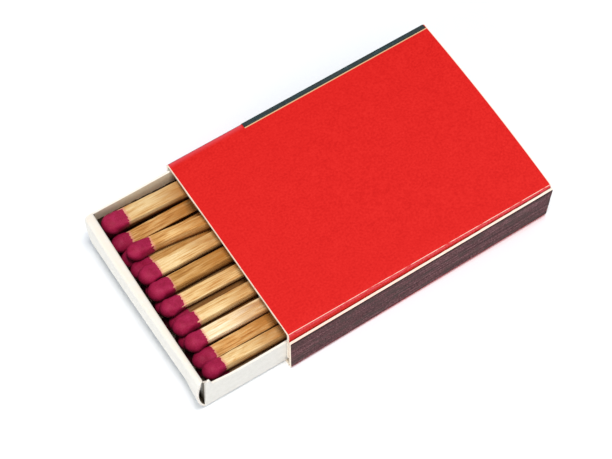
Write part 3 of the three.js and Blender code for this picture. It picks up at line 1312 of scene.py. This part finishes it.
    def shift_along(self, spot: Spot) -> float:
        """Leans, bellies out or bends back a point of the front end.

        Args:
            spot: The point with its panels.

        Returns:
            How far it moves along X.
        """
        y, rise, across = spot.point.y, spot.rise, spot.across
        shift = 0.0
        if not spot.at_front:
            return shift
        if spot.on_inner and not spot.on_near:
            shift -= self.rim_lean * (1 - across ** self.rim_lean_power) * rise
        if spot.on_outer or spot.on_tab:
            lean = self.end_lean + self.end_belly * arch(across) + self.near_lean * (1 - across)
            shift += self.end_tuck * (1 - rise) - lean * rise
        if spot.on_outer:
            flatter = ease(y, self.high.y - self.bow_loss_reach, self.high.y)
            fuller = ease(y, self.low.y + self.bow_gain_reach, self.low.y)
            shift += (self.bow_loss * flatter - self.bow_gain * fuller) * arch(rise)
        if spot.on_tab:
            shift *= ease(y, self.low.y, self.low.y + self.corner_turn)
        if spot.on_near or spot.on_tab:
            near_corner = ease(spot.inside, self.corner_reach, self.tab_inset)
            near_corner *= ease(y, self.low.y + self.corner_turn, self.low.y)
            shift += (self.corner_back * rise - self.corner_foot) * near_corner
        return shift

    def shift_across(self, spot: Spot) -> float:
        """Flares, draws in or bulges a point.

        Args:
            spot: The point with its panels.

        Returns:
            How far it moves along Y.
        """
        point, rise = spot.point, spot.rise
        from_near, from_far = point.y - self.low.y, self.high.y - point.y
        shift = 0.0
        if spot.at_front and spot.on_outer:
            flared = ease(from_near, self.flare_reach, self.end_inset)
            shift -= self.flare * flared * ease(rise, 0.0, self.flare_share)
        if spot.on_inner and rise < self.rim_share and point.z > self.low.z + TOUCH:
            pull = ease(from_near, self.taper_reach, 0.0) - ease(from_far, self.taper_reach, 0.0)
            shift += self.inner_taper * pull * ease(rise, 1.0, self.taper_share)
        if spot.on_near:
            from_bulge = (point.x - self.front - self.bulge_place) / self.bulge_reach
            foot = ease(point.z, self.low.z + self.tuck_height, self.low.z)
            shift += self.near_tuck * foot - self.bulge * max(0.0, 1 - from_bulge ** 2) * rise
        return shift

    def shift_up(self, spot: Spot) -> float:
        """Drops a point of the ends' corners, the tabs or the near rim.

        Args:
            spot: The point with its panels.

        Returns:
            How far it moves along Z.
        """
        point, rise = spot.point, spot.rise
        from_side = min(point.y - self.low.y, self.high.y - point.y)
        shift = 0.0
        if spot.on_outer and from_side > self.end_inset - TOUCH:
            past = max(0.0, self.end_corner + self.end_inset - from_side)
            drop = self.end_corner - math.sqrt(max(0.0, self.end_corner ** 2 - past ** 2))
            shift -= drop * ease(rise, self.corner_start, 1.0)
        if spot.on_tab:
            shift -= self.tab_drop * rise * ease(from_side, 0.0, self.corner_turn)
        if spot.on_near:
            behind_tip = ease(spot.inside, self.tab_inset + self.tip, self.tab_inset + 2 * self.tip)
            sagging = ease(spot.inside, 0.0, self.hollow_reach)
            shift -= (self.near_drop * behind_tip + self.hollow * sagging) * rise
        if abs(point.z - self.side_rim) < TOUCH:
            shift += self.waver * noise.noise(point / self.waver_length)
        return shift

    def settle(self, point: Vector) -> Vector:
        """Where a point of the square-folded tray has settled on the worn one."""
        spot = self.spot(point)
        return point + Vector((self.shift_along(spot), self.shift_across(spot), self.shift_up(spot)))

    def finishes(self) -> list[Material]:
        """Makes the tray's finishes.

        Returns:
            The finishes of the blank's face, of its back and of its cut edges.
        """
        front = self.front / MM
        face = TrayFace(
            name="tray_face",
            dark=screen(231, 227, 218),
            light=screen(244, 240, 232),
            low=self.low / MM,
            high=self.high / MM,
            front=front,
        )
        back = TrayInside(
            name="tray_pulp",
            dark=screen(244, 220, 188),
            light=screen(255, 243, 216),
            front=front,
            wall=(self.high.y - self.board) / MM,
        )
        edge = RawBoard("tray_edge", screen(240, 230, 216), screen(252, 245, 236))
        return [face.make(), back.make(), edge.make()]

    def build(self) -> Object:
        """Models and dresses the folded blank.

        Returns:
            The piece.
        """
        low, high = self.low, self.high
        corners = [
            (high.y, self.side_rim),
            (high.y, low.z),
            (low.y, low.z),
            (low.y, self.side_rim),
        ]
        start, stop = self.front + self.tab_inset, self.rear - self.tab_inset
        sheet = Sheet([Vector((start, y, z)) for y, z in corners])
        sheet.grow(sheet.line, Vector((stop - start, 0, 0)))
        foot = low.z + self.tab_foot
        near, far = low.y + self.end_inset, high.y - self.end_inset
        tips = [start + cut * self.tip for cut in self.tip_cuts]
        sheet.score(Axis.X, [*tips, *between(start, stop, self.slices)])
        sheet.score(Axis.Y, [near, *between(near, far, self.strips), far])
        sheet.score(Axis.Z, [foot, *between(foot, self.side_rim, self.rows)])
        bases, rims, turns = [], [], []
        for corner, outward in ((start, -1), (stop, 1)):
            for side, inward in ((low.y, 1), (high.y, -1)):
                turns += self.grow_tab(sheet, corner, side, inward)
            base, rim_outer, rim_inner = self.grow_end(sheet, corner, outward)
            bases += base
            rims += rim_outer + rim_inner
        long_folds = sheet.edges(
            lambda p: abs(p.z - low.z) < TOUCH
            and min(abs(p.y - low.y), abs(p.y - high.y)) < TOUCH
        )
        sheet.bend(self.settle)
        sheet.round(long_folds, self.side_fold, self.side_segments)
        sheet.round(bases, self.base_fold, self.end_segments)
        sheet.round(rims, self.rim_fold, self.end_segments)
        sheet.round(turns, self.corner_fold, self.side_segments)
        sheet.thicken(self.board)
        return make_piece(sheet.mesh, "tray_blank", Body.TRAY, "tray", self.finishes())


@dataclass
class Match:
    """One match: a split stick and its dipped head, where the frame's match lies."""

    number: int
    tone: Wood
    side: float = 2.1 * MM
    corners: int = 4
    length: float = 43.5 * MM
    arris: float = 0.16 * MM
    arris_segments: int = 2
    spread: float = 1.1
    warp: float = 0.0
    aside: float = 0.0
    dim: float = 0.0
    stick_seed: float = 5.3
    stick_octaves: Octaves = ((0.035, 1.6 * MM), (0.03, 6 * MM))
    slices: int = 40
    head_length: float = 4.3 * MM
    socket: float = 2.9 * MM
    head_radius: float = 1.63 * MM
    skirt: float = 0.05 * MM
    nose_share: float = 0.45
    nose: float = -0.08 * MM
    nose_power: float = 2.2
    skirt_power: float = 4.0
    waist_power: float = 1.8
    nose_spread: float = 0.45
    lip: float = 0.82
    head_seed: float = 7.1
    head_octaves: Octaves = ((0.05, 1.1 * MM), (0.02, 0.4 * MM))
    dip_creep: float = 0.0
    creep_start: float = 0.55
    ragged: float = 0.36 * MM
    ragged_seed: float = 3.7
    ragged_pitches: Octaves = ((0.5, 1.7), (0.5, 5.1), (0.35, 12.0))
    around: int = 72
    rings: int = 26

    @property
    def stick_node(self) -> str:
        """The frame's stick."""
        return f"match_stick_{self.number:02d}"

    @property
    def head_node(self) -> str:
        """The frame's head."""
        return f"match_head_{self.number:02d}"

    def lie(self) -> Matrix:
        """The frame of the match in the tray.

        Returns:
            A matrix whose X axis runs from the tip of the head along the stick.
        """
        stick, head = self.points(self.stick_node), self.points(self.head_node)
        middle = (stick[:, 0].min() + stick[:, 0].max()) / 2
        ends = stick[:, 0] < middle
        front = Vector(stick[ends].mean(axis=0))
        along = (Vector(stick[~ends].mean(axis=0)) - front).normalized()
        tip = front + along * min((Vector(point) - front).dot(along) for point in head)
        up = (Vector((0, 0, 1)) - along * along.z).normalized()
        side = up.cross(along)
        spokes = [Vector(point) - front for point in stick[ends]]
        angles = [math.atan2(spoke.dot(up), spoke.dot(side)) for spoke in spokes]
        turned = sum(np.exp(1j * self.corners * angle) for angle in angles)
        turn = Matrix.Rotation(np.angle(-turned) / self.corners, 4, "X")
        square = Matrix((along, side, up)).transposed().to_4x4()
        return Matrix.Translation(tip) @ square @ turn

    @staticmethod
    def points(node: str) -> np.ndarray:
        """The corners of a node of the frame, each once."""
        corners = [tuple(vert.co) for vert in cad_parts[node].data.vertices]
        return np.unique(np.round(corners, TOUCH_DIGITS), axis=0)

    def lay_down(self, mesh: BMesh) -> None:
        """Lays a mesh where the match lies, and marks how deep each point has sunk in it.

        Args:
            mesh: The mesh, with the tip of the head at the origin and the stick along X.
        """
        layer = mesh.verts.layers.float.new(Layer.SUNK.value)
        place = self.lie()
        for vert in mesh.verts:
            vert.co.y += self.aside
            axis = place @ Vector((vert.co.x, 0, 0))
            vert.co = place @ vert.co
            vert[layer] = 0.5 - (vert.co.z - axis.z) / self.side

    def dip_line(self, angle: float) -> float:
        """Finds the ragged edge of the dip.

        Args:
            angle: Direction round the stick.

        Returns:
            How far the dip has crept along the stick there.
        """
        place = Vector((math.cos(angle), math.sin(angle), self.number * self.ragged_seed))
        creep = sum(height * noise.noise(place * pitch) for height, pitch in self.ragged_pitches)
        return self.dip_creep + self.ragged * creep

    def build_stick(self, wood: Material) -> Object:
        """Models and dresses the stick.

        Args:
            wood: Its finish.

        Returns:
            The piece.
        """
        mesh = bmesh.new()
        start = self.head_length - self.socket
        span = self.length - start
        bmesh.ops.create_cube(mesh, size=1)
        bmesh.ops.scale(mesh, vec=(span, self.side, self.side), verts=mesh.verts)
        bmesh.ops.translate(mesh, vec=(start + span / 2, 0, 0), verts=mesh.verts)
        arrises = [e for e in mesh.edges if abs(e.verts[0].co.x - e.verts[1].co.x) > span / 2]
        round_edges(mesh, arrises, self.arris, self.arris_segments)
        slice_mesh(mesh, Axis.X, between(start, self.length, self.slices))
        shade = mesh.verts.layers.float.new(Layer.DIM.value)
        for vert in mesh.verts:
            vert[shade] = self.dim
        behind = mesh.verts.layers.float.new(Layer.BEHIND_DIP.value)
        seed = Vector((0, 0, self.number * self.stick_seed))
        for vert in mesh.verts:
            angle = math.atan2(vert.co.z, vert.co.y)
            vert[behind] = (vert.co.x - self.head_length - self.dip_line(angle)) / MM
            vert.co.yz *= 1 + uneven(vert.co, seed, self.stick_octaves)
            vert.co.y *= self.spread
            vert.co.y += self.warp * math.sin(math.pi * ease(vert.co.x, self.head_length, self.length))
        self.lay_down(mesh)
        return make_piece(
            mesh, f"stick_{self.number:02d}", Body.TRAY, self.stick_node, [wood]
        )

    def head_half(self, station: float, angle: float) -> float:
        """Radius of the head.

        Args:
            station: Share of the head's length from its tip.
            angle: Direction round the head.

        Returns:
            The radius, round at the nose and squarer towards the stick.
        """
        rear = max(0.0, (station - self.nose_share) / (1 - self.nose_share))
        ahead = max(0.0, 1 - station / self.nose_share)
        power = self.nose_power + self.skirt_power * rear
        corner = math.sqrt(2) / 2 ** (1 / power)
        skirt = (self.side / 2 + self.skirt) * corner
        widest = self.head_radius + (skirt - self.head_radius) * rear ** self.waist_power
        half = (widest / corner) * math.sqrt(max(0.0, 1 - ahead * ahead))
        return half / (abs(math.cos(angle)) ** power + abs(math.sin(angle)) ** power) ** (1 / power)

    def head_point(self, polar: float, angle: float) -> Vector:
        """A smooth point of the head.

        Args:
            polar: Share of the way from the tip round to the middle of the closed end.
            angle: Direction round the head.

        Returns:
            The point, spread to the stick's width.
        """
        station = 1 - math.cos(polar / self.lip * math.pi / 2) if polar < self.lip else 1.0
        closing = max(0.0, (polar - self.lip) / (1 - self.lip))
        radius = self.head_half(station, angle) * (1 - closing)
        creep = self.dip_line(angle) * ease(station, self.creep_start, 1.0)
        reach = station * (self.nose + self.head_length) - self.nose
        place = Vector((reach + creep, radius * math.cos(angle), radius * math.sin(angle)))
        seed = Vector((self.number * self.head_seed, 0, 0))
        place.yz *= 1 + uneven(place, seed, self.head_octaves)
        widening = self.nose_spread + (1 - self.nose_spread) * ease(station, self.nose_share, 1.0)
        place.y *= 1 + (self.spread - 1) * widening
        return place

    def build_head(self, dip: Material) -> Object:
        """Models and dresses the head.

        Args:
            dip: Its finish.

        Returns:
            The piece.
        """
        mesh = bmesh.new()
        bmesh.ops.create_uvsphere(mesh, u_segments=self.around, v_segments=self.rings, radius=1)
        for vert in mesh.verts:
            polar = math.acos(max(-1.0, min(1.0, vert.co.z))) / math.pi
            vert.co = self.head_point(polar, math.atan2(vert.co.y, vert.co.x))
        bmesh.ops.recalc_face_normals(mesh, faces=mesh.faces)
        self.lay_down(mesh)
        return make_piece(mesh, f"head_{self.number:02d}", Body.TRAY, self.head_node, [dip])


@dataclass(frozen=True)
class SoftLight:
    """A square light in metres and watts, at a place seen from the point that it faces."""

    name: str
    place: tuple[float, float, float]
    size: float
    power: float
    colour: Colour

    def hang(self, aim: Vector) -> None:
        """Hangs the light.

        Args:
            aim: The point that it faces.
        """
        data = bpy.data.lights.new(self.name, "AREA")
        data.size = self.size
        data.energy = self.power
        data.color = self.colour
        light = add_object(self.name, data)
        light.location = aim + Vector(self.place)
        light.rotation_euler = Vector(self.place).to_track_quat("Z", "Y").to_euler()


@dataclass
class Studio:
    """White floor, soft light and the camera at the picture's angle."""

    aim: Vector = field(default_factory=lambda: Vector((-11.75, -1.345, 5.555)) * MM)
    azimuth: float = math.radians(-32.76)
    elevation: float = math.radians(61.22)
    distance: float = 479.8 * MM
    lens: float = 163.68
    sensor: float = 36.0
    floor_half: float = 2.0
    floor_gap: float = 0.02 * MM
    sky: Colour = (0.88, 0.945, 1.04)
    sky_strength: float = 0.45
    lights: tuple[SoftLight, ...] = (
        SoftLight("key", (-0.015, -0.16, 0.95), size=0.28, power=6.4, colour=(1.0, 0.975, 0.94)),
        SoftLight("fill", (-0.8, -0.36, 0.34), size=0.5, power=2.8, colour=(1.0, 0.985, 0.96)),
    )

    def build_camera(self) -> None:
        """Sets the camera."""
        flat = math.cos(self.elevation)
        back = Vector(
            (math.sin(self.azimuth) * flat, -math.cos(self.azimuth) * flat, math.sin(self.elevation))
        )
        data = bpy.data.cameras.new("camera")
        data.lens = self.lens
        data.sensor_width = self.sensor
        data.sensor_fit = "HORIZONTAL"
        camera = add_object("camera", data)
        camera.location = self.aim + back * self.distance
        camera.rotation_euler = back.to_track_quat("Z", "Y").to_euler()
        bpy.context.scene.camera = camera

    def build_floor(self) -> None:
        """Lays the floor."""
        mesh = bmesh.new()
        bmesh.ops.create_grid(mesh, x_segments=1, y_segments=1, size=self.floor_half)
        bmesh.ops.translate(mesh, vec=(0, 0, -self.floor_gap), verts=mesh.verts)
        data = to_data(mesh, "floor")
        data.materials.append(StudioPaper().make())
        floor = add_object("floor", data)

    def build_lights(self) -> None:
        """Hangs the soft lights and sets the sky."""
        world = bpy.data.worlds.new("sky")
        world.use_nodes = True
        background = world.node_tree.nodes["Background"]
        background.inputs["Color"].default_value = (*self.sky, 1)
        background.inputs["Strength"].default_value = self.sky_strength
        bpy.context.scene.world = world
        for light in self.lights:
            light.hang(self.aim)

    def build(self) -> None:
        """Sets up the whole studio."""
        bpy.context.scene.view_settings.view_transform = "Standard"
        self.build_camera()
        self.build_floor()
        self.build_lights()


WOODS = (
    SplitWood(Wood.PALE, screen(190, 129, 66), screen(230, 190, 129), screen(245, 216, 163)),
    SplitWood(Wood.TAN, screen(164, 102, 46), screen(214, 158, 92), screen(236, 194, 132)),
    SplitWood(Wood.BROWN, screen(148, 92, 40), screen(198, 144, 78), screen(226, 180, 118)),
    SplitWood(Wood.CREAM, screen(214, 162, 100), screen(246, 216, 168), screen(255, 238, 206)),
)
SHOWN_MATCHES = (
    Match(11, Wood.TAN, spread=1.15, dip_creep=-0.6 * MM),
    Match(12, Wood.TAN),
    Match(13, Wood.BROWN, spread=1.3, dip_creep=-0.1 * MM),
    Match(18, Wood.TAN, spread=1.15, dip_creep=-0.1 * MM),
    Match(20, Wood.PALE, spread=1.4, nose=0.1 * MM, dip_creep=0.2 * MM, warp=-0.1 * MM, dim=0.14),
    Match(21, Wood.TAN, spread=1.05, nose=0.0, dip_creep=0.4 * MM, warp=-1.0 * MM, aside=-0.2 * MM),
    Match(22, Wood.PALE, spread=1.25, dip_creep=-0.35 * MM, aside=-0.1 * MM, dim=0.04),
    Match(23, Wood.BROWN, spread=1.28, dip_creep=0.3 * MM, dim=0.08),
    Match(24, Wood.PALE, spread=1.12, aside=-0.15 * MM),
    Match(25, Wood.PALE, spread=1.15, dip_creep=0.45 * MM, aside=-0.38 * MM),
    Match(26, Wood.CREAM, spread=1.2, dip_creep=-0.45 * MM, aside=-0.25 * MM),
    Match(27, Wood.PALE, spread=1.0, dip_creep=-0.25 * MM, aside=0.2 * MM),
)
MATCH_COUNT = sum(name.startswith("match_stick_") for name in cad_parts)
DEEP_TONES = (Wood.PALE, Wood.TAN, Wood.BROWN, Wood.PALE, Wood.CREAM)
# painted shade laid over the sticks that lie deep under the shown ones
DEEP_DIM = 0.7


def all_matches() -> list[Match]:
    """Lists the matches.

    Returns:
        The matches that show and the plain ones below them, darkened with painted shade, by number.
    """
    shown = {match.number: match for match in SHOWN_MATCHES}
    deep = (
        Match(number, DEEP_TONES[number % len(DEEP_TONES)], dim=DEEP_DIM)
        for number in range(1, MATCH_COUNT + 1)
    )
    return [shown.get(match.number, match) for match in deep]


def report(piece: Object) -> None:
    """Logs a finished piece."""
    LOG.info("%s: %d faces", piece.name, len(piece.data.polygons))


def main() -> None:
    """Builds the studio, the sleeve, the tray and the matches."""
    logging.basicConfig(level=logging.INFO, format="%(message)s")
    Studio().build()

    sleeve = Sleeve(*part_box("sleeve"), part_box("striker_near"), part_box("striker_far"))
    report(sleeve.build_board())
    report(sleeve.build_near_strip())
    report(sleeve.build_far_strip())
    report(Tray(*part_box("tray")).build())

    woods = {wood.tone: wood.make() for wood in WOODS}
    dip = HeadDip().make()
    for match in all_matches():
        report(match.build_stick(woods[match.tone]))
        report(match.build_head(dip))


if __name__ == "__main__":
    main()
